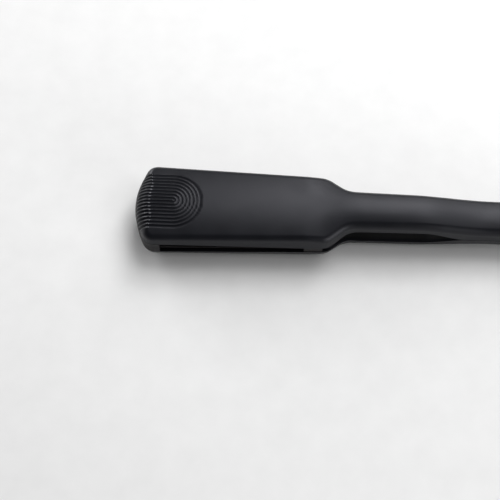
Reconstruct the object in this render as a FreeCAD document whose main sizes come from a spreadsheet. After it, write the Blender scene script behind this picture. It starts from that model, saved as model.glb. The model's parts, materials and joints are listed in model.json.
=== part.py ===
import FreeCAD, Part
import math
import os

from FreeCAD import Placement, Rotation, Vector

# Wide-plate flat iron, closed and lying on its lower arm.
# X runs along the iron from the nose (-X) to the cord end (+X), +Z is up, millimetres.
# The two arms meet at the height parting, and the lower arm mirrors the upper one about it.

DIMENSIONS = {
    # whole iron; stations along X are counted from the tip of the nose
    "tip": -142.5, "tail": 142.5, "parting": 16.7, "crown": 15.85, "wall": 2.0,
    "boss_depth": 1.6, "joint_gap": 0.15,
    # plan outline of one arm: corner stations, half widths and rounding radii
    "nose_apex": -4.27, "nose_round": 46.0, "nose_corner": 7.8, "corner_round": 9.0,
    "barrel_half": 27.5, "shoulder_start": 124.5, "shoulder_half": 23.9, "shoulder_round": 14.0,
    "shoulder_end": 137.5, "neck_half": 13.25, "grip_station": 192.0, "grip_half": 12.35,
    "grip_round": 120.0, "waist_station": 232.0, "waist_half": 11.9, "arm_end": 258.0,
    # side walls: how far they stand out at the parting, and their lean from there to draft_height;
    # the handle's walls are steeper and are drawn to half widths of their own at that height
    "flare": 0.86, "draft": 12.5, "draft_height": 20.0, "edge_round": 3.2,
    "neck_top": 15.8, "grip_top": 14.9, "waist_top": 14.4,
    # crown sections along the arm: crown height above parting and crown radius
    "barrel_crown_round": 92.0, "barrel_end": 108.0, "neck_station": 152.0,
    "neck_crown_round": 24.0, "crown_rise": 1.2, "rise_start": 118.0, "rise_end": 148.0,
    "crown_fall": 4.9, "fall_start": 178.0, "fall_end": 228.0, "barrel_block": 32.0, "handle_block": 18.0,
    # height of each arm's rim above the parting
    "rim_nose": 5.7, "rim_shoulder": 3.1, "rim_grip": 7.0, "rim_end": 0.25,
    "arch_start": 128.0, "arch_flat": 142.0, "arch_fall": 190.0, "arch_close": 210.0,
    "arch_round": 12.35,
    # heating plate and what is fixed to its back
    "plate_start": 18.4, "plate_length": 90.0, "plate_half": 19.0, "plate_thick": 2.3,
    "plate_gap": 0.1, "plate_round": 1.4,
    "heater_start": 26.0, "heater_length": 74.0, "heater_half": 8.5, "heater_thick": 1.6,
    "rail_half": 9.0, "rail_thick": 1.2, "rail_rise": 3.2, "clamp_thick": 0.8,
    "sensor_station": 70.0, "sensor_radius": 1.3, "sensor_length": 6.0, "sensor_side": 14.5,
    "sensor_edge": 0.6,
    "fuse_station": 45.0, "fuse_radius": 1.8, "fuse_length": 11.0,
    "lead_start": 98.0, "lead_length": 48.0, "lead_side": 3.5, "lead_lift": 2.4, "lead_radius": 0.8,
    # plate carrier
    "pocket_start": 17.2, "pocket_end": 109.6, "pocket_inset": 2.6, "carrier_end": 121.5,
    "carrier_top": 8.2, "bar_thick": 1.5, "bar_width": 7.0, "front_bar": 34.0, "rear_bar": 88.0,
    "cushion_radius": 2.4, "cushion_side": 13.5, "block_inset": 0.3,
    "shield_start": 24.0, "shield_length": 80.0, "shield_half": 17.0, "shield_thick": 0.6,
    "shield_lift": 0.3,
    # screws
    "shank_radius": 1.0, "head_radius": 1.9, "head_thick": 1.4, "boss_radius": 2.6,
    "pilot_radius": 1.05, "carrier_screw_front": 12.0, "carrier_screw_rear": 114.5,
    "carrier_screw_side": 12.0, "screw_sink": 2.0,
    # liner of the handle
    "liner_start": 122.2, "liner_end": 240.0, "liner_thick": 1.6, "liner_step": 0.3,
    # control board, button and light ring, all in the lower arm
    "board_start": 146.0, "board_length": 44.0, "board_half": 7.5, "board_thick": 1.4,
    "board_depth": 10.6, "button_station": 166.0, "button_radius": 3.4, "ring_bore": 3.5,
    "ring_radius": 4.6, "ring_hole": 4.65, "button_top": 6.6, "button_length": 2.4,
    "button_edge": 0.5, "switch_side": 6.0, "switch_thick": 1.15,
    # hinge
    "pin_station": 260.0, "pin_radius": 2.5, "pin_bore": 2.56, "pin_half": 11.1, "pin_edge": 0.4,
    "hub_radius": 15.6, "hub_half": 12.8, "hub_clear": 0.4, "hub_round": 1.8,
    "knuckle_radius": 8.5, "knuckle_half": 6.4, "slot_half": 7.0, "slot_radius": 9.3,
    "cover_radius": 15.3, "cap_radius": 6.0, "cap_thick": 1.4, "cap_gap": 0.1, "cap_edge": 0.5,
    "washer_radius": 5.6, "washer_thick": 0.4, "spring_pocket": 2.9, "spring_wire": 0.5,
    "spring_radius": 3.9, "spring_pocket_radius": 5.2, "tongue_start": 226.0,
    # cord swivel
    "boss_end": 281.3, "boss_round": 8.2, "flange_start": 273.6, "flange_thick": 2.8,
    "flange_radius": 6.5, "neck_radius": 4.6, "swivel_gap": 0.07, "collar_radius": 6.2,
    "collar_start": 281.6, "cord_bore": 3.1, "retainer_start": 271.6, "retainer_thick": 1.9,
    "retainer_bore": 3.4, "collar_edge": 1.2,
}

doc = FreeCAD.newDocument("flat_iron")
dims = doc.addObject("Spreadsheet::Sheet", "dims")
for row, (alias, size) in enumerate(DIMENSIONS.items(), start=1):
    dims.set(f"A{row}", alias)
    dims.set(f"B{row}", str(size))
    dims.setAlias(f"B{row}", alias)
doc.recompute()

# stations of the crown's sections, closest together where its height or its curve changes
CROWN_STATIONS = (-12, 108, 116, 123, 130, 137, 144, 152, 178, 186, 194, 203, 212, 220, 228, 262)
NODES = []


def terms(text):
    """The signed words of a sum such as "tip + plate_start - 2"."""
    sign, found = 1, []
    for word in text.split():
        if word in "+-":
            sign = -1 if word == "-" else 1
        else:
            found.append((sign, word))
            sign = 1
    return found


def number(text):
    """The value of a sum of cell names and plain numbers."""
    total = 0.0
    for sign, word in terms(text):
        total += sign * float(getattr(dims, word) if word[0].isalpha() else word)
    return total


def formula(text):
    """The same sum as a FreeCAD expression on the sheet."""
    parts = [("-" if s < 0 else "+") + (f"dims.{w}" if w[0].isalpha() else w) for s, w in terms(text)]
    return "0 " + " ".join(parts)


def bind(thing, path, text):
    thing.setExpression(path, formula(text))


def place(thing, x, y, z):
    """Binds a position, given as three sums."""
    for axis, text in zip("xyz", (x, y, z)):
        bind(thing, f"Placement.Base.{axis}", text)


def keep(thing, label):
    """Marks a finished piece of the iron; its label names its file."""
    thing.Label = label
    NODES.append(thing)
    return thing


def box(x, y, z, length, width, height):
    """A block whose low corner and sides are sums."""
    block = doc.addObject("Part::Box", "block")
    bind(block, "Length", length)
    bind(block, "Width", width)
    bind(block, "Height", height)
    place(block, x, y, z)
    return block


def slab(start, length, half, low, height):
    """A block centred on Y; low is its height above the parting."""
    return box(f"tip + {start}", negative(half), f"parting + {low}", length, f"{half} + {half}", height)


TURN = {"x": Rotation(Vector(0, 1, 0), 90), "y": Rotation(Vector(1, 0, 0), -90), "z": Rotation()}


def rod(x, y, z, radius, length, along):
    """A round bar from a start point along +X, +Y or +Z."""
    bar = doc.addObject("Part::Cylinder", "bar")
    bind(bar, "Radius", radius)
    bind(bar, "Height", length)
    bar.Placement = Placement(Vector(), TURN[along])
    place(bar, x, y, z)
    return bar


def cut(base, *tools):
    """The base with every tool taken out of it."""
    for tool in tools:
        made = doc.addObject("Part::Cut", "cut")
        made.Base = base
        made.Tool = tool
        base = made
    return base


def fuse(*shapes):
    made = doc.addObject("Part::MultiFuse", "fuse")
    made.Shapes = list(shapes)
    return made


def common(*shapes):
    made = doc.addObject("Part::MultiCommon", "common")
    made.Shapes = list(shapes)
    return made


def group(*shapes):
    """Separate solids that share one node, such as identical screws."""
    made = doc.addObject("Part::Compound", "group")
    made.Links = list(shapes)
    return made


def mirrored(source):
    """The lower arm's twin of an upper piece."""
    doc.recompute()
    made = doc.addObject("Part::Mirroring", "mirror")
    made.Source = source
    made.Normal = Vector(0, 0, 1)
    bind(made, "Base.z", "parting")
    return made


def plane(body, role):
    return next(item for item in body.Origin.OriginFeatures if item.Role == role)


def new_sketch(body, role, station):
    """A sketch on an origin plane of the body, moved along the plane's normal by a sum."""
    sketch = body.newObject("Sketcher::SketchObject", "sketch")
    sketch.AttachmentSupport = [(plane(body, role), "")]
    sketch.MapMode = "FlatFace"
    bind(sketch, "AttachmentOffset.Base.z", station)
    return sketch


def bends_of(corners, inset):
    """Where each corner's arc starts, passes and ends, with the whole outline drawn in by an inset."""
    spots = [Vector(number(across), number(up), 0) for across, up, _ in corners]
    count = len(spots)
    turns = []
    for i, spot in enumerate(spots):
        back = (spots[i - 1] - spot).normalize()
        ahead = (spots[(i + 1) % count] - spot).normalize()
        turns.append((back, ahead, back.cross(ahead).z))
    area = sum(spots[i - 1].cross(spots[i]).z for i in range(count))
    bends = []
    for (back, ahead, cross), spot, (_, _, radius) in zip(turns, spots, corners):
        outward = 1 if cross * area < 0 else -1
        half_angle = back.getAngle(ahead) / 2
        inward = (back + ahead).normalize()
        spot = spot + inward * (outward * inset / math.sin(half_angle))
        size = number(radius) - outward * inset if radius else 0.0
        reach = size / math.tan(half_angle)
        through = spot + inward * (size / math.sin(half_angle) - size)
        bends.append((spot + back * reach, through, spot + ahead * reach))
    return bends


def outline(sketch, corners, inset=0.0):
    """A closed outline of straight sides with rounded corners: (across, up, radius cell or None)."""
    bends = bends_of(corners, inset)
    edges = []
    for i, (enter, through, leave) in enumerate(bends):
        if corners[i][2]:
            edges.append(Part.Arc(enter, through, leave))
        edges.append(Part.LineSegment(leave, bends[(i + 1) % len(bends)][0]))
    sketch.addGeometry(edges, False)


def prism(role, station, corners, length, both_ways=False, inset=0.0):
    """A padded outline; a profile on XZ is padded both ways across the iron."""
    body = doc.addObject("PartDesign::Body", "body")
    sketch = new_sketch(body, role, station)
    outline(sketch, corners, inset)
    pad = body.newObject("PartDesign::Pad", "pad")
    pad.Profile = sketch
    bind(pad, "Length", length)
    if both_ways:
        pad.Midplane = True
    doc.recompute()
    return body


def profile(corners, width="80"):
    """A side-view outline, given as (station, height above parting), padded across the iron."""
    shifted = [(f"tip + {a}", f"parting + {b}", r) for a, b, r in corners]
    return prism("XZ_Plane", "0", shifted, width, both_ways=True)


def arm_corners(neck="neck_half", grip="grip_half", waist="waist_half"):
    """The corners of one arm's plan outline, from the nose round to the nose again."""
    side = [
        ("tip + nose_corner", "barrel_half", "corner_round"),
        ("tip + shoulder_start", "shoulder_half", "shoulder_round"),
        ("tip + shoulder_end", neck, "shoulder_round"),
        ("tip + grip_station", grip, "grip_round"),
        ("tip + waist_station", waist, "grip_round"),
        ("tip + arm_end", waist, None),
    ]
    far = [(a, negative(b), r) for a, b, r in reversed(side)]
    return [("tip + nose_apex", "0", "nose_round")] + side + far


def plan(inset):
    """One arm's plan outline, drawn in by a wall, padded up from the parting."""
    return prism("XY_Plane", "parting", arm_corners(), "draft_height", inset=number(inset))


def drafted_plan(inset):
    """The outline with side walls that lean in as they rise from the flare at the parting."""
    body = doc.addObject("PartDesign::Body", "body")
    lean = number("draft_height") * math.tan(math.radians(number("draft")))
    low = number(inset) - number("flare")
    upper = arm_corners("neck_top", "grip_top", "waist_top")
    sketches = []
    for level, corners, shrink in (
            ("parting", arm_corners(), low), ("parting + draft_height", upper, low + lean)):
        sketch = new_sketch(body, "XY_Plane", level)
        outline(sketch, corners, shrink)
        sketches.append(sketch)
    loft = body.newObject("PartDesign::AdditiveLoft", "loft")
    loft.Profile = sketches[0]
    loft.Sections = sketches[1:]
    loft.Ruled = True
    doc.recompute()
    return body


def negative(text):
    return " ".join(("-" if sign > 0 else "+") + " " + word for sign, word in terms(text))


def crown_section(body, station, half, top, radius):
    """A D-shaped section across the arm: flat below, with the crown's arc on top."""
    sketch = new_sketch(body, "YZ_Plane", f"tip + {station}")
    low = number("parting - 1")
    side = top - radius + math.sqrt(radius**2 - half**2)
    left_low, left, right, right_low = (
        Vector(-half, low, 0), Vector(-half, side, 0), Vector(half, side, 0), Vector(half, low, 0))
    sketch.addGeometry([
        Part.LineSegment(left_low, right_low), Part.LineSegment(right_low, right),
        Part.Arc(right, Vector(0, top, 0), left), Part.LineSegment(left, left_low)], False)
    return sketch


def eased(station, start, end):
    """Rises smoothly from 0 at one station to 1 at another."""
    share = min(max((station - number(start)) / (number(end) - number(start)), 0.0), 1.0)
    return share * share * (3 - 2 * share)


def crown_form(inset):
    """The long domed block that gives an arm its crown, lowered by a wall."""
    body = doc.addObject("PartDesign::Body", "body")
    sketches = []
    for station in CROWN_STATIONS:
        slim = eased(station, "barrel_end", "neck_station")
        rise = number("crown_rise") * eased(station, "rise_start", "rise_end")
        fall = number("crown_fall") * eased(station, "fall_start", "fall_end")
        half = number("barrel_block") + (number("handle_block") - number("barrel_block")) * slim
        barrel_bend = 1 / number("barrel_crown_round")
        bend = barrel_bend + (1 / number("neck_crown_round") - barrel_bend) * slim
        top = number("parting + crown") - number(inset) + rise - fall
        sketches.append(crown_section(body, station, half, top, 1 / bend))
    loft = body.newObject("PartDesign::AdditiveLoft", "loft")
    loft.Profile = sketches[0]
    loft.Sections = sketches[1:]
    loft.Ruled = True
    doc.recompute()
    return body


def rounded(base, radius, wanted):
    """Rounds the edges of a shape that a test picks."""
    doc.recompute()
    made = doc.addObject("Part::Fillet", "round")
    made.Base = base
    size = number(radius)
    picked = [i for i, edge in enumerate(base.Shape.Edges, start=1) if wanted(edge)]
    made.Edges = [(i, size, size) for i in picked]
    return made


def middle(edge):
    return edge.valueAt((edge.FirstParameter + edge.LastParameter) / 2)


def on_top(edge):
    """True for the edges where the crown meets the side walls and the nose."""
    ends = [vertex.Point.z for vertex in edge.Vertexes] + [middle(edge).z]
    flat_end = number("tip + arm_end") - 0.5
    across = middle(edge).x > flat_end
    return min(ends) > number("parting") + 5 and not across


def arm_form(inset):
    """A whole arm's form, drawn in by a wall, from the parting up."""
    return common(drafted_plan(inset), crown_form(inset))


def rim_cutter(step):
    """What lies between an arm's rim and the parting, raised by a step."""
    return profile([
        ("0 - 20", "0 - 30", None),
        ("0 - 20", f"rim_nose + {step}", None),
        ("pocket_start", f"rim_nose + {step}", None),
        ("pocket_end", f"rim_shoulder + {step}", None),
        ("arch_start", f"rim_shoulder + {step}", "corner_round"),
        ("arch_flat", f"rim_grip + {step}", "corner_round"),
        ("arch_fall", f"rim_grip + {step}", "arch_round"),
        ("arch_close", f"rim_end + {step}", "arch_round"),
        ("arm_end + 20", f"rim_end + {step}", None),
        ("arm_end + 20", "0 - 30", None),
    ])


def at_pin(radius, half):
    """A round bar across the iron on the hinge axis."""
    return rod("tip + pin_station", negative(half), "parting", radius, f"{half} + {half}", "y")


def upright(station, side, low, radius, height):
    """A round post; low is its height above the parting."""
    return rod(f"tip + {station}", side, f"parting + {low}", radius, height, "z")


SCREW_SPOTS = [
    (station, side)
    for station in ("carrier_screw_front", "carrier_screw_rear")
    for side in ("carrier_screw_side", "- carrier_screw_side")
]


def arm_shell(outer):
    """The moulded cover hollowed from the outer form, with bosses for the carrier's screws."""
    hollow = arm_form("wall")
    open_end = profile([("arm_end - 4", "0 - 1", None), ("arm_end - 4", "9", None),
                        ("arm_end + 9", "9", None), ("arm_end + 9", "0 - 1", None)], "18")
    skin = cut(outer, hollow, open_end)
    posts = [upright(s, y, "carrier_top + joint_gap", "boss_radius", "20") for s, y in SCREW_SPOTS]
    bosses = common(fuse(*posts), arm_form("boss_depth"))
    pilots = [upright(s, y, "carrier_top - 1", "pilot_radius", "5") for s, y in SCREW_SPOTS]
    whole = fuse(skin, bosses)
    return cut(whole, *pilots, rim_cutter("0"), at_pin("hub_radius + hub_clear", "60"))


def lower_arm_shell(upper):
    """The upper cover's twin with posts for the control board and a flat land to lie on."""
    twin = mirrored(upper)
    stations = ("board_start + 3", "board_start + board_length - 3")
    posts = [upright(s, "0", "- crown", "boss_radius - 0.4", "crown - board_depth - board_thick")
             for s in stations]
    kept = common(fuse(*posts), mirrored(arm_form("boss_depth")))
    pilots = [upright(s, "0", "- board_depth - 3.4", "pilot_radius", "5") for s in stations]
    below_table = box("tip - 5", "0 - 40", "0 - 5", "300", "80", "5")
    return cut(fuse(twin, kept), below_table, *pilots)


def plate_carrier():
    """The heat-proof frame: tip block, side rails, shoulder block and two cross bars."""
    solid = common(plan("block_inset"), profile([
        ("0", "plate_gap", None), ("0", "rim_nose - joint_gap", None),
        ("pocket_start", "rim_nose - joint_gap", None),
        ("pocket_end", "rim_shoulder - joint_gap", None),
        ("carrier_end", "rim_shoulder - joint_gap", None), ("carrier_end", "plate_gap", None)]))
    raised = common(drafted_plan("wall + wall"), profile([
        ("5", "2", None), ("5", "carrier_top", None),
        ("carrier_end", "carrier_top", None), ("carrier_end", "2", None)]))
    trench = box("tip + pocket_start", "0 - 40", "parting - 1", "pocket_end - pocket_start", "80",
                 "20")
    rails = common(trench, drafted_plan("pocket_inset"), slab("0", "150", "40", "0", "carrier_top"))
    well = slab("plate_start - joint_gap", "plate_length + joint_gap + joint_gap",
                "plate_half + joint_gap + joint_gap", "- 1", "20")
    low_edge = slab("pocket_start - 1", "pocket_end - pocket_start + 2", "40", "- 2", "3.2")
    ends = cut(fuse(solid, raised), trench)
    sides = cut(rails, well, low_edge)
    beams = [slab(s, "bar_width", "30", "carrier_top - bar_thick", "bar_thick")
             for s in ("front_bar", "rear_bar")]
    bars = common(fuse(*beams), drafted_plan("pocket_inset"))
    holes = []
    for station, side in SCREW_SPOTS:
        holes.append(upright(station, side, "- 1", "pilot_radius + 0.2", "20"))
        holes.append(upright(station, side, "- 1", "head_radius + 0.3", "screw_sink + head_thick + 1"))
    return cut(fuse(ends, sides, bars), *holes)


def carrier_screws():
    """Four pan-head screws that hold a carrier to its shell."""
    made = []
    for station, side in SCREW_SPOTS:
        head = upright(station, side, "screw_sink", "head_radius", "head_thick")
        shank = upright(station, side, "screw_sink + 0.5", "shank_radius", "9")
        made.append(fuse(head, shank))
    return group(*made)


def heating_plate():
    """The floating plate, rounded along its edges, with two rails behind it for the heater."""
    face = slab("plate_start", "plate_length", "plate_half", "plate_gap", "plate_thick")
    soft = rounded(face, "plate_round", lambda edge: edge.BoundBox.ZMax < number("parting + 0.2"))
    rails = [
        box("tip + heater_start", side, "parting + plate_gap + plate_thick - 0.2", "heater_length",
            "rail_thick", "rail_rise")
        for side in ("rail_half", "- rail_half - rail_thick")
    ]
    return fuse(soft, *rails)


def heater():
    """The ceramic heating strip lying on the back of the plate."""
    return slab("heater_start", "heater_length", "heater_half", "plate_gap + plate_thick",
                "heater_thick")


def heater_clamp():
    """The spring-steel strip that presses the heater down, with a shallow stiffening rib."""
    strip = slab("heater_start + 3", "heater_length - 6", "heater_half",
                 "plate_gap + plate_thick + heater_thick", "clamp_thick")
    rib = slab("heater_start + 8", "heater_length - 16", "2",
               "plate_gap + plate_thick + heater_thick", "clamp_thick + 0.5")
    return fuse(strip, rib)


def plate_sensor():
    """The glass-bead temperature sensor on the back of the plate."""
    bar = rod("tip + sensor_station", "sensor_side", "parting + plate_gap + plate_thick + sensor_radius",
              "sensor_radius", "sensor_length", "x")
    return rounded(bar, "sensor_edge", lambda edge: True)


def thermal_fuse():
    """The one-shot fuse: a can with a narrower sealed end."""
    level = "parting + plate_gap + plate_thick + fuse_radius"
    can = rod("tip + fuse_station", "- sensor_side", level, "fuse_radius", "fuse_length", "x")
    end = rod("tip + fuse_station - 1.5", "- sensor_side", level, "fuse_radius - 0.9", "3", "x")
    return fuse(can, end)


def plate_cushions():
    """Four silicone posts between the plate and the cross bars; they let the plate float."""
    made = []
    for station in ("front_bar + 3.5", "rear_bar + 3.5"):
        for side in ("cushion_side", "- cushion_side"):
            made.append(upright(station, side, "plate_gap + plate_thick", "cushion_radius",
                                "carrier_top - bar_thick - plate_gap - plate_thick"))
    return group(*made)


def heat_shield():
    """The mica sheet between the carrier's bars and the shell."""
    return slab("shield_start", "shield_length", "shield_half", "carrier_top + shield_lift",
                "shield_thick")


def heater_leads():
    """Two insulated wires from the heater to the handle."""
    level = "parting + carrier_top + lead_lift"
    return group(*[rod("tip + lead_start", side, level, "lead_radius", "lead_length", "x")
                   for side in ("lead_side", "- lead_side")])


def handle_liner():
    """The inner cover of the handle, set a step inside the rim."""
    strip = cut(profile([
        ("liner_start", "0", None), ("liner_start", "12", None), ("liner_end", "12", None),
        ("liner_end", "0", None)]), rim_cutter("liner_step"))
    band = cut(strip, above_liner())
    return common(band, drafted_plan("wall + joint_gap"))


def above_liner():
    """Everything above the liner's upper face."""
    return profile([
        ("0 - 20", "40", None),
        ("0 - 20", "rim_shoulder + liner_step + liner_thick", None),
        ("arch_start", "rim_shoulder + liner_step + liner_thick", "corner_round"),
        ("arch_flat", "rim_grip + liner_step + liner_thick", "corner_round"),
        ("arch_fall", "rim_grip + liner_step + liner_thick", "arch_round"),
        ("arch_close", "rim_end + liner_step + liner_thick", "arch_round"),
        ("arm_end + 20", "rim_end + liner_step + liner_thick", None),
        ("arm_end + 20", "40", None),
    ])


def control_board():
    """The control board in the lower handle, with two screw holes."""
    sheet = slab("board_start", "board_length", "board_half", "- board_depth - board_thick",
                 "board_thick")
    holes = [upright(s, "0", "- board_depth - 3", "pilot_radius + 0.2", "6")
             for s in ("board_start + 3", "board_start + board_length - 3")]
    return cut(sheet, *holes)


def board_screws():
    made = []
    for station in ("board_start + 3", "board_start + board_length - 3"):
        head = upright(station, "0", "- board_depth", "head_radius", "1.1")
        shank = upright(station, "0", "- board_depth - 2.7", "shank_radius", "3.1")
        made.append(fuse(head, shank))
    return group(*made)


def board_components():
    """The larger parts on the board: power switch, chip, capacitor, coil and beeper."""
    under = "- board_depth - board_thick"
    switcher = slab("board_start + 28", "9", "4.5", f"{under} - 1.2", "1.2")
    chip = slab("board_start + 8", "7", "3.5", f"{under} - 1.2", "1.2")
    capacitor = box("tip + board_start + 27", "- board_half + 1", "parting - board_depth", "9", "5",
                    "1.3")
    coil = upright("board_start + 32", "3.5", "- board_depth", "3", "1.3")
    beeper = upright("board_start + 21", "0", f"{under} - 1.2", "3.2", "1.2")
    return group(switcher, chip, capacitor, coil, beeper)


def button_switch():
    """The small push switch on the board under the button."""
    return slab("button_station - 3", "switch_side", "3", "- board_depth", "switch_thick")


def power_button():
    """The round push button in the lower liner, rounded at its edge."""
    cap = upright("button_station", "0", "- button_top - button_length", "button_radius",
                  "button_length")
    return rounded(cap, "button_edge",
                   lambda edge: middle(edge).z > number("parting - button_top - 0.2"))


def light_ring():
    """The light guide round the button."""
    level = "- rim_grip - liner_step - liner_thick"
    ring = upright("button_station", "0", level, "ring_radius", "liner_thick")
    return cut(ring, upright("button_station", "0", f"{level} - 1", "ring_bore", "9"))


def tail_housing():
    """The lower arm's hinge housing: two round cheeks, a closed back and the swivel's boss."""
    hub = at_pin("hub_radius", "hub_half")
    soft = rounded(hub, "hub_round", lambda edge: abs(middle(edge).y) > 10)
    boss = rod("tip + pin_station + 8", "0", "parting", "boss_round", "boss_end - pin_station - 8",
               "x")
    foot = box("tip + tongue_start", "- knuckle_half", "parting - 9",
               "pin_station - tongue_start - 6", "knuckle_half + knuckle_half", "5")
    slot = at_pin("slot_radius", "slot_half")
    mouth = profile([
        ("pin_station - 34", "- 2.6", None), ("pin_station - 4", "- 2.6", None),
        ("pin_station + 4", "3", None), ("pin_station + 13.6", "11", None),
        ("pin_station + 13.6", "30", None), ("pin_station - 34", "30", None)],
        "slot_half + slot_half")
    bore = at_pin("pin_bore", "30")
    seats = []
    for start in ("hub_half - cap_thick - cap_gap", "- hub_half - 5"):
        seats.append(rod("tip + pin_station", start, "parting", "cap_radius + cap_gap",
                         "cap_thick + cap_gap + 5", "y"))
    cavity = rod("tip + pin_station + 6", "0", "parting", "flange_radius + swivel_gap",
                 "flange_start + flange_thick - pin_station - 6 + swivel_gap", "x")
    throat = rod("tip + pin_station + 6", "0", "parting", "neck_radius + swivel_gap", "30", "x")
    return cut(fuse(soft, boss, foot), slot, mouth, bore, *seats, cavity, throat)


def hinge_tongue():
    """The upper arm's hinge piece: a knuckle on the pin, with the round cover above it."""
    knuckle = at_pin("knuckle_radius", "knuckle_half")
    disc = at_pin("cover_radius", "knuckle_half")
    sector = common(disc, profile([
        ("pin_station - 1", "0", None), ("pin_station + 4.2", "17", None),
        ("pin_station - 17", "17", None), ("pin_station - 17", "2.9", None),
        ("pin_station - 6", "2.9", None)], "40"))
    root = box("tip + tongue_start", "- knuckle_half", "parting + 2.9",
               "pin_station - tongue_start - 8", "knuckle_half + knuckle_half", "5.9")
    pocket = at_pin("spring_pocket_radius", "spring_pocket")
    return cut(fuse(knuckle, sector, root), pocket, at_pin("pin_bore", "30"))


def hinge_pin():
    bar = at_pin("pin_radius", "pin_half")
    return rounded(bar, "pin_edge", lambda edge: abs(middle(edge).y) > number("pin_half - 0.1"))


def hinge_cap(start):
    """A round cover over one end of the pin."""
    disc = rod("tip + pin_station", start, "parting", "cap_radius", "cap_thick", "y")
    side = 1 if number(start) > 0 else -1
    return rounded(disc, "cap_edge",
                   lambda edge: side * middle(edge).y > number("hub_half") - 0.5)


def hinge_washers():
    """Two thin nylon washers between the knuckle and the cheeks."""
    made = []
    for start in ("knuckle_half + 0.1", "- knuckle_half - washer_thick - 0.1"):
        disc = rod("tip + pin_station", start, "parting", "washer_radius", "washer_thick", "y")
        made.append(cut(disc, at_pin("pin_bore + 0.05", "30")))
    return group(*made)


def hinge_spring():
    """The coil of the opening spring, wound round the pin inside the knuckle."""
    wire, coil = number("spring_wire"), number("spring_radius")
    length = 2 * (number("spring_pocket") - wire - 0.2)
    helix = Part.makeHelix(length / 4, length, coil)
    section = Part.Wire([Part.makeCircle(wire, Vector(coil, 0, 0), Vector(0, 1, 0))])
    made = doc.addObject("Part::Feature", "spring")
    made.Shape = Part.Wire(helix.Edges).makePipeShell([section], True, True)
    made.Placement = Placement(Vector(number("tip + pin_station"), -length / 2, number("parting")),
                               TURN["y"])
    return made


def swivel_gland():
    """The turning cord gland: a flange held in the housing, a neck and an outer collar."""
    flange = rod("tip + flange_start", "0", "parting", "flange_radius", "flange_thick", "x")
    neck = rod("tip + flange_start", "0", "parting", "neck_radius", "tail - tip - flange_start - 1",
               "x")
    collar = rod("tip + collar_start", "0", "parting", "collar_radius", "tail - tip - collar_start",
                 "x")
    soft = rounded(collar, "collar_edge", lambda edge: middle(edge).x > number("tail - 1"))
    bore = rod("tip + 250", "0", "parting", "cord_bore", "60", "x")
    return cut(fuse(flange, neck, soft), bore)


def swivel_retainer():
    """The ring that holds the gland's flange in the housing."""
    ring = rod("tip + retainer_start", "0", "parting", "flange_radius", "retainer_thick", "x")
    return cut(ring, rod("tip + 250", "0", "parting", "retainer_bore", "60", "x"))


outer = rounded(arm_form("0"), "edge_round", on_top)
upper_shell = keep(arm_shell(outer), "upper_arm_shell")
lower_shell = keep(lower_arm_shell(upper_shell), "lower_arm_shell")
carrier = keep(plate_carrier(), "upper_plate_carrier")
keep(mirrored(carrier), "lower_plate_carrier")
for name, build in (("heating_plate", heating_plate), ("heater", heater),
                    ("heater_clamp", heater_clamp), ("plate_sensor", plate_sensor),
                    ("thermal_fuse", thermal_fuse), ("plate_cushions", plate_cushions),
                    ("heat_shield", heat_shield), ("heater_leads", heater_leads),
                    ("carrier_screws", carrier_screws)):
    upper = keep(build(), f"upper_{name}")
    keep(mirrored(upper), f"lower_{name}")
liner = keep(handle_liner(), "upper_handle_liner")
window = upright("button_station", "0", "- 12", "ring_hole", "12")
keep(cut(mirrored(liner), window), "lower_handle_liner")
keep(control_board(), "control_board")
keep(board_components(), "board_components")
keep(board_screws(), "board_screws")
keep(button_switch(), "button_switch")
keep(power_button(), "power_button")
keep(light_ring(), "light_ring")
keep(tail_housing(), "tail_housing")
keep(hinge_tongue(), "hinge_tongue")
keep(hinge_pin(), "hinge_pin")
keep(hinge_cap("hub_half - cap_thick"), "left_hinge_cap")
keep(hinge_cap("- hub_half"), "right_hinge_cap")
keep(hinge_washers(), "hinge_washers")
keep(hinge_spring(), "hinge_spring")
keep(swivel_gland(), "swivel_gland")
keep(swivel_retainer(), "swivel_retainer")
doc.recompute()

faults = [o.Name + " " + str(o.State) for o in doc.Objects
          if {"Invalid", "Error"} & set(o.State)]
for node in NODES:
    if node.Shape.isNull() or not node.Shape.isValid() or not node.Shape.Solids:
        faults.append(node.Label + " has no valid solid")
if faults:
    raise RuntimeError("; ".join(faults))

os.makedirs("parts", exist_ok=True)
for node in NODES:
    node.Shape.exportStep(f"parts/{node.Label}.step")
    size = node.Shape.BoundBox
    print(f"{node.Label:24s} {len(node.Shape.Solids)} {node.Shape.Volume:9.1f} mm3 "
          f"x {size.XMin:.1f} {size.XMax:.1f} y {size.YMin:.1f} {size.YMax:.1f} "
          f"z {size.ZMin:.1f} {size.ZMax:.1f}")
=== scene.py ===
import json
import math

import bmesh
import bpy
import numpy as np
from mathutils import Matrix, Vector


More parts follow.
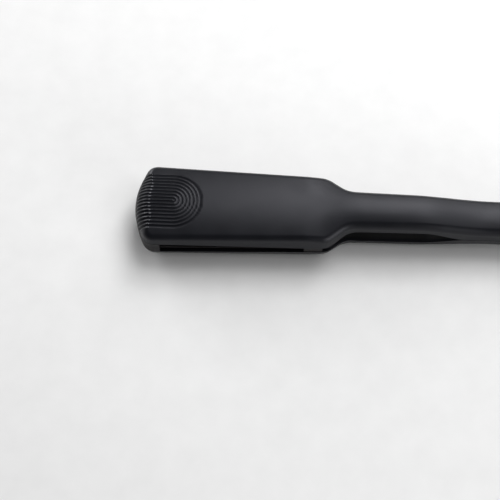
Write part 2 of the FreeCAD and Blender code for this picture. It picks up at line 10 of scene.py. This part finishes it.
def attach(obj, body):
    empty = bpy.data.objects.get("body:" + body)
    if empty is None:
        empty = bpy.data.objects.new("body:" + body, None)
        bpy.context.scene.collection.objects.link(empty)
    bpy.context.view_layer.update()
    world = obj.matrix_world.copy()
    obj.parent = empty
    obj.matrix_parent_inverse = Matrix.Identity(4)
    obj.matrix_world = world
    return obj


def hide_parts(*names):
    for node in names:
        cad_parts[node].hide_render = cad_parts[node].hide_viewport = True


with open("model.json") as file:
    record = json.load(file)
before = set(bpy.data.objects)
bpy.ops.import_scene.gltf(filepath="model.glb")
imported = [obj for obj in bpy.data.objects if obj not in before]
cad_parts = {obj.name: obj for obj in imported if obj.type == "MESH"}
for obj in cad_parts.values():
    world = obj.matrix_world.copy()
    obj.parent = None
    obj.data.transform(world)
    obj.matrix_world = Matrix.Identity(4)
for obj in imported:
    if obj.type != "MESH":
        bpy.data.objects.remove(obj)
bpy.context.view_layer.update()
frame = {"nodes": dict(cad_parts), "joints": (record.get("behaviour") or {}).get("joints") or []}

# The shells are worked out in millimetres: s runs along the iron from the tip of the nose,
# y across it, and h is the height above the plane where the two arms meet.
MM = 0.001
HINGE = next(j for j in frame["joints"] if j["name"] == "arm_hinge")
PIN_X, PARTING = HINGE["pos_m"][0], HINGE["pos_m"][2]
PIN_STATION = 260.0
LAND = PARTING / MM          # the lower shell is flat from here on, where it lies on the table

# ---------------------------------------------------------------- outline of one arm
# (station, half width, rounding radius) of each corner
# half widths are those at RIM_LEVEL, before RIM_INSET is taken off
CORNERS = [(-4.27, 0.0, 46.0), (7.8, 27.5, 9.0), (124.5, 23.9, 14.0), (137.5, 13.96, 14.0),
           (192.0, 13.06, 120.0), (232.0, 12.6, 120.0), (275.0, 12.6, 0.0)]
BARREL_LEAN, GRIP_LEAN = 0.2217, 0.095      # how far the side band leans in per unit of height
RIM_LEVEL = 5.7                             # height at which the outline is taken
RIM_INSET = 0.4
ARC_STEPS = 60


def half_outline(inset):
    """Half of the plan outline, from the middle of the nose to the tail, as points (s, y)."""
    first = (CORNERS[1][0], -CORNERS[1][1])
    spots = [np.array(first)] + [np.array(c[:2]) for c in CORNERS]
    points = []
    for i in range(1, len(spots) - 1):
        back = spots[i - 1] - spots[i]
        ahead = spots[i + 1] - spots[i]
        back, ahead = back / np.linalg.norm(back), ahead / np.linalg.norm(ahead)
        cross = back[0] * ahead[1] - back[1] * ahead[0]
        outward = 1 if cross > 0 else -1
        half = math.acos(np.clip(back @ ahead, -1, 1)) / 2
        inward = (back + ahead) / np.linalg.norm(back + ahead)
        size = CORNERS[i - 1][2] - outward * inset
        spot = spots[i] + inward * (outward * inset / math.sin(half))
        centre = spot + inward * (size / math.sin(half))
        enter, leave = spot + back * size / math.tan(half), spot + ahead * size / math.tan(half)
        a0 = math.atan2(*(enter - centre)[::-1])
        a1 = math.atan2(*(leave - centre)[::-1])
        turn = (a1 - a0 + math.pi) % (2 * math.pi) - math.pi
        for k in range(ARC_STEPS + 1):
            a = a0 + turn * k / ARC_STEPS
            points.append(centre + size * np.array([math.cos(a), math.sin(a)]))
    last = spots[-1] + np.array([0.0, -inset])
    points = np.array(points + [last])
    points = points[points[:, 1] >= 0]
    return np.vstack([[[points[0, 0], 0.0]], points])


def eased(x, low, high):
    """Rises smoothly from 0 at low to 1 at high."""
    t = np.clip((x - low) / (high - low), 0, 1)
    return t * t * (3 - 2 * t)


def along(points, spacing_of):
    """Walks a polyline; spacing_of(s) is the wanted distance between points there."""
    steps = np.linalg.norm(np.diff(points, axis=0), axis=1)
    run = np.concatenate([[0], np.cumsum(steps / np.array([spacing_of(s) for s in points[1:, 0]]))])
    count = int(math.ceil(run[-1]))
    wanted = np.linspace(0, run[-1], count + 1)
    return np.stack([np.interp(wanted, run, points[:, 0]), np.interp(wanted, run, points[:, 1])], 1)


# ---------------------------------------------------------------- form of one shell
CROWN = 15.85                                   # height of the barrel's crown
CROWN_RISE, RISE_SPAN = 1.2, (118, 148)         # the crown rises into the handle
CROWN_FALL, FALL_SPAN = 4.9, (178, 228)         # and falls towards the hinge
BARREL_BEND, GRIP_BEND, BEND_SPAN = 1 / 92, 1 / 27, (108, 152)      # curvature across the crown
RIM_STATIONS, RIM_HEIGHTS = (-20, 17.2, 109.6), (5.7, 5.7, 3.1)
ARCH_RISE, ARCH_START = 3.9, (124, 146)         # the rim rises over the handle's gap
ARCH_FALL, ARCH_END = 6.75, (186, 214)          # and falls behind it, where the arms meet
RIDGE_CENTRE = 24.8          # the U ridges bend round this station
RIDGE_PITCH = 2.35
RIDGE_COUNT = 8
RIDGE_DEPTH = 0.5
CREST_POWER = 3.5            # narrows the crests
FRONT_SPAN = (6.2, 8.2)      # heights over which the grooves fade out at the front
# shares of the smooth skin's gloss that the grooves lose as painted shade, the crests gain as a
# painted highlight, and the crests gain again as painted highlight glints along the line where the
# flat top rolls to the nose
GROOVE_SHADE_GLOSS, CREST_HIGHLIGHT_GLOSS, BEND_GLINT_GLOSS = -0.65, 0.5, 24.0
BEND_GLINT_LEAN, BEND_GLINT_SPREAD = 0.13, 0.07         # that line's lean to the front, as a sine, and its width
# radii of the round-over from the side band to the crown, and where each gives way to the next
NOSE_ROLL, SIDE_ROLL, GRIP_ROLL = 8.2, 2.6, 3.4
NOSE_SPAN, NOSE_HALF, CORNER_SPAN = (-22, -4), 24.0, (-3.5, 9.0)
GRIP_ROLL_SPAN, GRIP_LEAN_SPAN = (120, 145), (124, 142)
WALL = 2.0
RIB_POINTS, INNER_POINTS = 96, 12               # points kept along a rib's outside and inside
WALK_POINTS, TURN_POINTS, BAND_POINTS, TOP_POINTS = 240, 60, 12, 120    # points used to find them
TURN_PASSES = 12
RIB_STATIONS = (0, 46, 58, 104, 112, 150, 165, 240)
RIB_GAPS = (0.3, 0.32, 2.2, 2.2, 0.9, 0.9, 2.5, 2.2)                    # distance between ribs there
TAIL_STATION, HUB_CLEAR_RADIUS, HUB_SPAN_START = 250.5, 16.0, 222


def dome(s, y):
    """Height of the crowned top."""
    bend = BARREL_BEND + (GRIP_BEND - BARREL_BEND) * eased(s, *BEND_SPAN)
    radius = 1 / bend
    top = CROWN + CROWN_RISE * eased(s, *RISE_SPAN) - CROWN_FALL * eased(s, *FALL_SPAN)
    return top - radius + np.sqrt(np.maximum(radius**2 - y**2, 1.0))


def rim(s):
    """Height of the shell's lower edge."""
    steps = np.interp(s, RIM_STATIONS, RIM_HEIGHTS)
    return steps + ARCH_RISE * eased(s, *ARCH_START) - ARCH_FALL * eased(s, *ARCH_END)


def rib_profile(foot, goal, outline):
    """One rib, from the shell's lower edge up its side and over the crown to the spine.

    The rib runs from foot straight towards goal in plan. Its depth is how far a point lies inside
    the outline, and ell is the distance from foot.
    """
    length = np.linalg.norm(goal - foot)
    way = (goal - foot) / length
    ells = np.linspace(0, length, WALK_POINTS)
    spots = foot + ells[:, None] * way
    starts, ends = outline[:-1], outline[1:]
    side = ends - starts
    share = np.einsum("pkd,kd->pk", spots[:, None] - starts[None], side) / (side**2).sum(1)
    near = starts[None] + np.clip(share, 0, 1)[..., None] * side[None]
    gaps = np.linalg.norm(spots[:, None] - near, axis=2)
    depth = gaps.min(1)
    depth = np.maximum.accumulate(depth + np.linspace(0, 1e-6, len(depth)))
    slope0 = max((ells[3] - ells[0]) / (depth[3] - depth[0]), 1.0)
    heights = dome(spots[:, 0], np.abs(spots[:, 1]))

    def ell_at(d):
        return np.where(d < 0, d * slope0, np.interp(d, depth, ells))

    forward = eased(-foot[0], *NOSE_SPAN) * eased(NOSE_HALF - abs(foot[1]), *CORNER_SPAN)
    roll = SIDE_ROLL + (NOSE_ROLL - SIDE_ROLL) * forward
    roll += (GRIP_ROLL - SIDE_ROLL) * eased(foot[0], *GRIP_ROLL_SPAN)
    lean = BARREL_LEAN + (GRIP_LEAN - BARREL_LEAN) * float(eased(foot[0], *GRIP_LEAN_SPAN))
    low = float(rim(foot[0]))
    # round over from the side band to the crown
    turn = np.linspace(0, math.pi / 2, TURN_POINTS)
    a, b = roll * (1 - np.sin(turn)), roll * (1 - np.cos(turn))
    z = np.full(TURN_POINTS, float(heights[0]) - 1.0)
    for _ in range(TURN_PASSES):
        d = b * math.sqrt(1 + lean**2) + (z - RIM_LEVEL) * lean
        z = np.interp(ell_at(d), ells, heights) - a
    band_z = np.linspace(low, z[0], BAND_POINTS)[:-1]
    band_d = (band_z - RIM_LEVEL) * lean
    keep = z > low + 0.02
    d_all = np.concatenate([band_d[band_z < z[0]], d[keep]]) if z[0] > low else d[keep]
    z_all = np.concatenate([band_z[band_z < z[0]], z[keep]]) if z[0] > low else z[keep]
    ell = ell_at(d_all)
    rest = np.linspace(ell[-1], length, TOP_POINTS)[1:]
    ell = np.concatenate([ell, rest])
    z_all = np.concatenate([z_all, np.interp(rest, ells, heights)])
    run = np.concatenate([[0], np.cumsum(np.hypot(np.diff(ell), np.diff(z_all)))])
    wanted = np.linspace(0, run[-1], RIB_POINTS)
    ell, z_all = np.interp(wanted, run, ell), np.interp(wanted, run, z_all)
    outer = np.column_stack([foot + ell[:, None] * way, z_all])
    # the inside follows at the wall's thickness
    picks = np.linspace(0, RIB_POINTS - 1, INNER_POINTS).astype(int)
    grad = np.gradient(np.column_stack([ell, z_all]), axis=0)
    normal = np.column_stack([grad[:, 1], -grad[:, 0]])
    normal /= np.linalg.norm(normal, axis=1)[:, None]
    inner_ell = np.clip(ell[picks] + WALL * normal[picks, 0], 0, length)
    inner_z = z_all[picks] + WALL * normal[picks, 1]
    inner_z[0] = low
    inner_z = np.maximum(inner_z, low)
    inner_ell[-1] = length
    inner = np.column_stack([foot + inner_ell[:, None] * way, inner_z])
    return outer, inner


def spacing(s):
    return float(np.interp(s, RIB_STATIONS, RIB_GAPS))


def fit_hub(points):
    """Draws the tail end back to the round hinge housing."""
    s, h = points[..., 0], points[..., 2]
    reach = PIN_STATION - np.sqrt(HUB_CLEAR_RADIUS**2 - np.minimum(h, HUB_CLEAR_RADIUS - 1)**2)
    share = np.clip((s - HUB_SPAN_START) / (TAIL_STATION - HUB_SPAN_START), 0, 1) ** 2
    points[..., 0] = s + (reach - TAIL_STATION) * share
    return points


def shell_mesh():
    """Outer and inner points of the upper shell, in millimetres, before the ridges."""
    outline = half_outline(RIM_INSET)
    feet = along(outline[outline[:, 0] <= TAIL_STATION + 3], spacing)
    feet = feet[feet[:, 0] < TAIL_STATION - 0.6]
    half = np.interp(TAIL_STATION, outline[-8:, 0], outline[-8:, 1])
    feet = np.vstack([feet, [[TAIL_STATION, half]]])
    outer, inner = [], []
    for foot in feet:
        goal = np.array([max(foot[0], RIDGE_CENTRE), 0.0])
        o, i = rib_profile(foot, goal, outline)
        outer.append(o)
        inner.append(i)
    outer, inner = fit_hub(np.array(outer)), fit_hub(np.array(inner))
    flip = np.array([1, -1, 1])
    outer = np.concatenate([(outer * flip)[:0:-1], outer])
    inner = np.concatenate([(inner * flip)[:0:-1], inner])
    return outer, inner


def grid_faces(rows, cols, offset, turned=False):
    """The four-sided faces of a grid of points numbered from offset."""
    index = np.arange(rows * cols).reshape(rows, cols) + offset
    quads = np.stack([index[:-1, :-1], index[1:, :-1], index[1:, 1:], index[:-1, 1:]], -1)
    quads = quads.reshape(-1, 4)
    return quads[:, ::-1] if turned else quads


OUTER, INNER = shell_mesh()
SHARP_ANGLE = math.radians(50)
WELD = 2e-7                     # metres; merges the points that the ribs share at the spine


def groove(points):
    """The moulded grooves at each point of the outer face: depth, crest share and ridged share."""
    s, y, h = points[:, 0], points[:, 1], points[:, 2]
    r = np.where(s < RIDGE_CENTRE, np.abs(y), np.hypot(s - RIDGE_CENTRE, y))
    crest = np.abs(np.cos(math.pi * r / RIDGE_PITCH)) ** CREST_POWER
    ridged = np.where(r < RIDGE_PITCH * RIDGE_COUNT, 1.0, 0.0) * eased(h, *FRONT_SPAN)
    return RIDGE_DEPTH * (1 - crest) * ridged, crest, ridged


def make_shell(name, lower):
    """A finished shell as an object; the lower one is the upper one's twin with a flat land."""
    rows, cols = OUTER.shape[:2]
    verts = np.concatenate([OUTER.reshape(-1, 3), INNER.reshape(-1, 3)])
    faces = [grid_faces(rows, cols, 0), grid_faces(rows, INNER_POINTS, rows * cols, turned=True)]
    first, second = np.arange(rows) * cols, rows * cols + np.arange(rows) * INNER_POINTS
    faces.append(np.stack([first[:-1], second[:-1], second[1:], first[1:]], -1))
    me = bpy.data.meshes.new(name)
    ends = []
    for row, turned in ((0, False), (rows - 1, True)):
        ring = [row * cols + k for k in range(cols)]
        ring += [rows * cols + row * INNER_POINTS + k for k in reversed(range(INNER_POINTS))]
        ends.append(ring[::-1] if turned else ring)
    me.from_pydata(verts.tolist(), [], [list(map(int, f)) for part in faces for f in part] + ends)
    me.update()
    count = rows * cols
    normals = np.empty(len(me.vertices) * 3)
    me.vertices.foreach_get("normal", normals)
    normals = normals.reshape(-1, 3)[:count]
    outer = verts[:count]
    # ribs meet along the spine, so the two halves' normals are evened there
    spine = np.abs(outer[:, 1]) < 1e-6
    normals[spine, 1] = 0
    normals[spine & (outer[:, 0] < RIDGE_CENTRE + 1e-3)] = (0, 0, 1)
    depth, crest, ridged = groove(outer)
    outward = np.sign(normals[:, 2].mean())
    lean = -outward * normals[:, 0]
    # painted highlight: along the bend where the flat top rolls to the nose the crests' gloss is
    # raised many times over, standing in for glints of the lamps there
    bend_glint = np.exp(-((lean - BEND_GLINT_LEAN) / BEND_GLINT_SPREAD) ** 2) * (outer[:, 0] < RIDGE_CENTRE / 2)
    # the grooves lose gloss as painted shade and the crests gain it as a painted highlight
    extra = GROOVE_SHADE_GLOSS + crest * (CREST_HIGHLIGHT_GLOSS - GROOVE_SHADE_GLOSS) + BEND_GLINT_GLOSS * bend_glint * crest**3
    extra = ridged * extra
    verts[:count] = outer - outward * normals * depth[:, None]
    h = verts[:, 2]
    if lower:
        h = -np.minimum(h, LAND)
    tip = PIN_X - PIN_STATION * MM
    placed = np.column_stack([verts[:, 0] * MM + tip, verts[:, 1] * MM, PARTING + h * MM])
    me.vertices.foreach_set("co", placed.ravel())
    # the painted shade and painted highlight shares are kept on the mesh for the shell's material
    skin = me.attributes.new("painted_light_gloss", "FLOAT", "POINT")
    skin.data.foreach_set("value", np.concatenate([extra, np.zeros(len(verts) - count)]))
    if lower:
        me.flip_normals()
    bm = bmesh.new()
    bm.from_mesh(me)
    bmesh.ops.remove_doubles(bm, verts=bm.verts, dist=WELD)
    bmesh.ops.triangulate(bm, faces=[f for f in bm.faces if len(f.verts) > 4])
    bmesh.ops.recalc_face_normals(bm, faces=bm.faces)
    for face in bm.faces:
        face.smooth = True
    for edge in bm.edges:
        if len(edge.link_faces) == 2 and edge.calc_face_angle(0) > SHARP_ANGLE:
            edge.smooth = False
    bm.to_mesh(me)
    bm.free()
    piece = bpy.data.objects.new(name, me)
    bpy.context.collection.objects.link(piece)
    return piece


# ---------------------------------------------------------------- materials
NOISE_LOW, NOISE_HIGH = 0.3, 0.7            # a noise texture's useful range


def new_material(name):
    m = bpy.data.materials.new(name)
    m.use_nodes = True
    nodes, links = m.node_tree.nodes, m.node_tree.links
    nodes.clear()
    out = nodes.new("ShaderNodeOutputMaterial")
    shader = nodes.new("ShaderNodeBsdfPrincipled")
    links.new(shader.outputs[0], out.inputs[0])
    return m, nodes, links, shader


def noise(nodes, links, scale, detail, stretch=None):
    """Noise fixed to the object, drawn out along it where stretch is given."""
    coord = nodes.new("ShaderNodeTexCoord")
    tex = nodes.new("ShaderNodeTexNoise")
    tex.inputs["Scale"].default_value = scale
    tex.inputs["Detail"].default_value = detail
    if stretch:
        mapping = nodes.new("ShaderNodeMapping")
        mapping.inputs["Scale"].default_value = stretch
        links.new(coord.outputs["Object"], mapping.inputs[0])
        links.new(mapping.outputs[0], tex.inputs["Vector"])
    else:
        links.new(coord.outputs["Object"], tex.inputs["Vector"])
    return tex.outputs["Fac"]


def ramp(nodes, links, source, low, high):
    """Turns noise into a colour between two."""
    r = nodes.new("ShaderNodeValToRGB")
    for stop, position, colour in zip(r.color_ramp.elements, (NOISE_LOW, NOISE_HIGH), (low, high)):
        stop.position, stop.color = position, (*colour, 1)
    links.new(source, r.inputs[0])
    return r.outputs[0]


def spread(nodes, links, source, low, high):
    """Turns noise into a value between two."""
    m = nodes.new("ShaderNodeMapRange")
    m.inputs["To Min"].default_value, m.inputs["To Max"].default_value = low, high
    m.inputs["From Min"].default_value, m.inputs["From Max"].default_value = NOISE_LOW, NOISE_HIGH
    links.new(source, m.inputs[0])
    return m.outputs[0]


def bump(nodes, links, shader, source, distance):
    b = nodes.new("ShaderNodeBump")
    b.inputs["Distance"].default_value = distance
    b.inputs["Strength"].default_value = 1.0
    links.new(source, b.inputs["Height"])
    links.new(b.outputs[0], shader.inputs["Normal"])


def plastic(name, dark, light, rough, grain, depth, metal=0.0, specular=0.5, coat=0.0, sheen=0.0,
            stretch=None, patch=60.0, tint=(1.0, 1.0, 1.0), uneven=0.07):
    """Moulded plastic, metal or rubber: fine grain, faint colour drift and uneven gloss."""
    m, nodes, links, shader = new_material(name)
    drift = noise(nodes, links, patch, 4.0)
    fine = noise(nodes, links, grain, 2.0, stretch)
    links.new(ramp(nodes, links, drift, dark, light), shader.inputs["Base Color"])
    mixed = nodes.new("ShaderNodeMath")
    mixed.operation = "MULTIPLY_ADD"
    links.new(fine, mixed.inputs[0])
    mixed.inputs[1].default_value = 0.5
    half = nodes.new("ShaderNodeMath")
    half.operation = "MULTIPLY"
    half.inputs[1].default_value = 0.5
    links.new(drift, half.inputs[0])
    links.new(half.outputs[0], mixed.inputs[2])
    gloss = spread(nodes, links, mixed.outputs[0], rough - uneven, rough + uneven)
    links.new(gloss, shader.inputs["Roughness"])
    bump(nodes, links, shader, fine, depth)
    shader.inputs["Metallic"].default_value = metal
    shader.inputs["Specular IOR Level"].default_value = specular
    shader.inputs["Specular Tint"].default_value = (*tint, 1)
    shader.inputs["Coat Weight"].default_value = coat
    shader.inputs["Sheen Weight"].default_value = sheen
    return m


def glossed(material, attribute, base):
    """Adds to the shine by an attribute of the mesh: painted shade in the grooves and painted
    highlights on the crests.
    """
    nodes, links = material.node_tree.nodes, material.node_tree.links
    level = nodes.new("ShaderNodeAttribute")
    level.attribute_name = attribute
    scaled = nodes.new("ShaderNodeMath")
    scaled.operation = "MULTIPLY_ADD"
    scaled.inputs[1].default_value = base
    scaled.inputs[2].default_value = base
    links.new(level.outputs["Fac"], scaled.inputs[0])
    links.new(scaled.outputs[0], nodes["Principled BSDF"].inputs["Specular IOR Level"])


SOFT_TOUCH_SPECULAR = 0.25
# one material for each slot of the part: two shades, roughness, grain size and grain depth
SLOTS = {
    "soft_touch_shell": plastic(
        "soft_touch", (0.0040, 0.0044, 0.0060), (0.0051, 0.0056, 0.0076),
        rough=0.38, grain=5200, depth=1e-5, specular=SOFT_TOUCH_SPECULAR,
        tint=(0.92, 0.92, 1.0)),
    "heat_proof_black": plastic(
        "heat_proof", (0.0070, 0.0062, 0.0070), (0.0110, 0.0098, 0.0108),
        rough=0.55, grain=2400, depth=6e-5, specular=0.25),
    "liner_black": plastic(
        "liner", (0.0045, 0.0045, 0.0052), (0.0068, 0.0068, 0.0078),
        rough=0.50, grain=3200, depth=4e-5, specular=0.25),
    "coated_plate": plastic(
        "coated_plate", (0.10, 0.10, 0.105), (0.13, 0.13, 0.135),
        rough=0.24, grain=900, depth=5e-7, metal=0.9, coat=0.3, stretch=(0.15, 1, 1), uneven=0.015),
    "heater_ceramic": plastic(
        "ceramic", (0.72, 0.71, 0.67), (0.82, 0.81, 0.78),
        rough=0.62, grain=1800, depth=3e-5),
    "spring_steel": plastic(
        "spring_steel", (0.50, 0.50, 0.51), (0.60, 0.60, 0.61),
        rough=0.30, grain=1500, depth=1e-5, metal=1.0, stretch=(0.2, 1, 1)),
    "sensor_glass": plastic(
        "sensor_glass", (0.35, 0.16, 0.05), (0.45, 0.22, 0.08),
        rough=0.15, grain=600, depth=1e-5, coat=0.6),
    "plated_metal": plastic(
        "plated_metal", (0.58, 0.57, 0.55), (0.70, 0.69, 0.66),
        rough=0.28, grain=1400, depth=1e-5, metal=1.0),
    "silicone": plastic(
        "silicone", (0.45, 0.12, 0.07), (0.53, 0.15, 0.09),
        rough=0.46, grain=1300, depth=4e-5, sheen=0.2),
    "mica": plastic(
        "mica", (0.50, 0.43, 0.30), (0.66, 0.60, 0.46),
        rough=0.34, grain=420, depth=3e-5, coat=0.4, patch=220),
    "wire_sleeve": plastic(
        "wire_sleeve", (0.62, 0.60, 0.55), (0.74, 0.72, 0.67),
        rough=0.60, grain=2600, depth=6e-5),
    "circuit_board": plastic(
        "circuit_board", (0.010, 0.085, 0.035), (0.016, 0.12, 0.05),
        rough=0.32, grain=900, depth=2e-5, coat=0.4, patch=300),
    "component_black": plastic(
        "component", (0.016, 0.016, 0.017), (0.026, 0.026, 0.028),
        rough=0.44, grain=2000, depth=3e-5),
    "button_gloss": plastic(
        "button_gloss", (0.016, 0.016, 0.018), (0.022, 0.022, 0.025),
        rough=0.20, grain=2200, depth=6e-6, coat=0.5),
    "light_guide": plastic(
        "light_guide", (0.70, 0.72, 0.74), (0.80, 0.82, 0.84),
        rough=0.30, grain=1100, depth=1e-5, coat=0.2),
    "nylon": plastic(
        "nylon", (0.66, 0.65, 0.61), (0.76, 0.75, 0.71),
        rough=0.46, grain=1500, depth=3e-5),
}

# the shell's specular level carries the painted shade in its grooves and the painted highlights on
# its crests
glossed(SLOTS["soft_touch_shell"], "painted_light_gloss", SOFT_TOUCH_SPECULAR)

for node in frame["nodes"].values():
    for place in node.material_slots:
        place.material = SLOTS[place.material.name.split(".")[0]]

# ---------------------------------------------------------------- shells
for name, body, lower in (("upper_shell", "upper_arm", False), ("lower_shell", "lower_arm", True)):
    shell = make_shell(name, lower)
    shell.data.materials.append(SLOTS["soft_touch_shell"])
    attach(shell, body)
    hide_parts(name.replace("shell", "arm_shell"))

# ---------------------------------------------------------------- floor, light and camera
FLOOR_HALF, FLOOR_DROP = 1.1, 0.00005           # the floor lies a hair under the iron
me = bpy.data.meshes.new("floor")
floor_corners = [(x * FLOOR_HALF, y * FLOOR_HALF, 0) for x, y in ((-1, -1), (1, -1), (1, 1), (-1, 1))]
me.from_pydata(floor_corners, [], [(0, 1, 2, 3)])
floor = bpy.data.objects.new("floor", me)
bpy.context.collection.objects.link(floor)
floor.location.z = -FLOOR_DROP
floor.data.materials.append(plastic(
    "floor_paper", (0.80, 0.80, 0.80), (0.83, 0.83, 0.83),
    rough=0.8, grain=700, depth=2e-5, specular=0.1))


def softbox(name, where, width, height, power):
    """A soft light aimed at the origin; the camera doesn't see the box itself."""
    data = bpy.data.lights.new(name, "AREA")
    data.shape = "RECTANGLE"
    data.size, data.size_y, data.energy = width, height, power
    lamp = bpy.data.objects.new(name, data)
    bpy.context.collection.objects.link(lamp)
    lamp.location = where
    lamp.rotation_mode = "QUATERNION"
    lamp.rotation_quaternion = (Vector((0, 0, 0)) - where).to_track_quat("-Z", "Y")
    lamp.visible_camera = False


SOFTBOX_REACH, SOFTBOX_WIDTH = 1.5, 0.9
# compass angle from +X towards +Y, height angle, height of the box, power
SOFTBOXES = (
    (68, 60, 0.9, 15.0), (68, 35, 0.9, 8.0), (135, 12, 0.58, 12.0), (315, 12, 0.58, 8.5),
    (0, 60, 0.9, 4.4),
)
for number, (compass, rise, tall, power) in enumerate(SOFTBOXES):
    a, e = math.radians(compass), math.radians(rise)
    way = Vector((math.cos(a) * math.cos(e), math.sin(a) * math.cos(e), math.sin(e)))
    softbox(f"softbox_{number}", way * SOFTBOX_REACH, SOFTBOX_WIDTH, tall, power)

# the studio walls look pale but add little light of their own
WALL_LIGHT, WALL_SHADE = 0.12, 0.75
WHITE = (1, 1, 1, 1)
world = bpy.data.worlds.new("studio")
world.use_nodes = True
tree = world.node_tree
lit, seen = tree.nodes["Background"], tree.nodes.new("ShaderNodeBackground")
lit.inputs[0].default_value, lit.inputs[1].default_value = WHITE, WALL_LIGHT
seen.inputs[0].default_value, seen.inputs[1].default_value = WHITE, WALL_SHADE
path, mix = tree.nodes.new("ShaderNodeLightPath"), tree.nodes.new("ShaderNodeMixShader")
tree.links.new(path.outputs["Is Camera Ray"], mix.inputs[0])
tree.links.new(lit.outputs[0], mix.inputs[1])
tree.links.new(seen.outputs[0], mix.inputs[2])
tree.links.new(mix.outputs[0], tree.nodes["World Output"].inputs[0])
bpy.context.scene.world = world
bpy.context.scene.view_settings.view_transform = "Standard"

# the camera looks down on the iron's long side; the aim is how far right of and above the picture's
# centre the key point comes
ELEVATION, ROLL = math.radians(67.5), math.radians(2.3)
SENSOR, FOCAL_SHARE, DISTANCE = 36, 2.05, 0.666
AIM_X, AIM_Y = 0.0091, 0.0234
KEY_POINT = Vector((-0.0592, 0, PARTING))
back = Vector((0, -math.cos(ELEVATION), math.sin(ELEVATION)))
right = Vector((1, 0, 0))
up = back.cross(right)
turned_right = math.cos(ROLL) * right + math.sin(ROLL) * up
turned_up = -math.sin(ROLL) * right + math.cos(ROLL) * up
camera = bpy.data.objects.new("camera", bpy.data.cameras.new("camera"))
bpy.context.collection.objects.link(camera)
camera.location = KEY_POINT - AIM_X * turned_right - AIM_Y * turned_up + DISTANCE * back
camera.rotation_mode = "QUATERNION"
camera.rotation_quaternion = Matrix((turned_right, turned_up, back)).transposed().to_quaternion()
camera.data.sensor_width = SENSOR
camera.data.lens = SENSOR * FOCAL_SHARE
camera.data.clip_start, camera.data.clip_end = 0.01, 20
bpy.context.scene.camera = camera
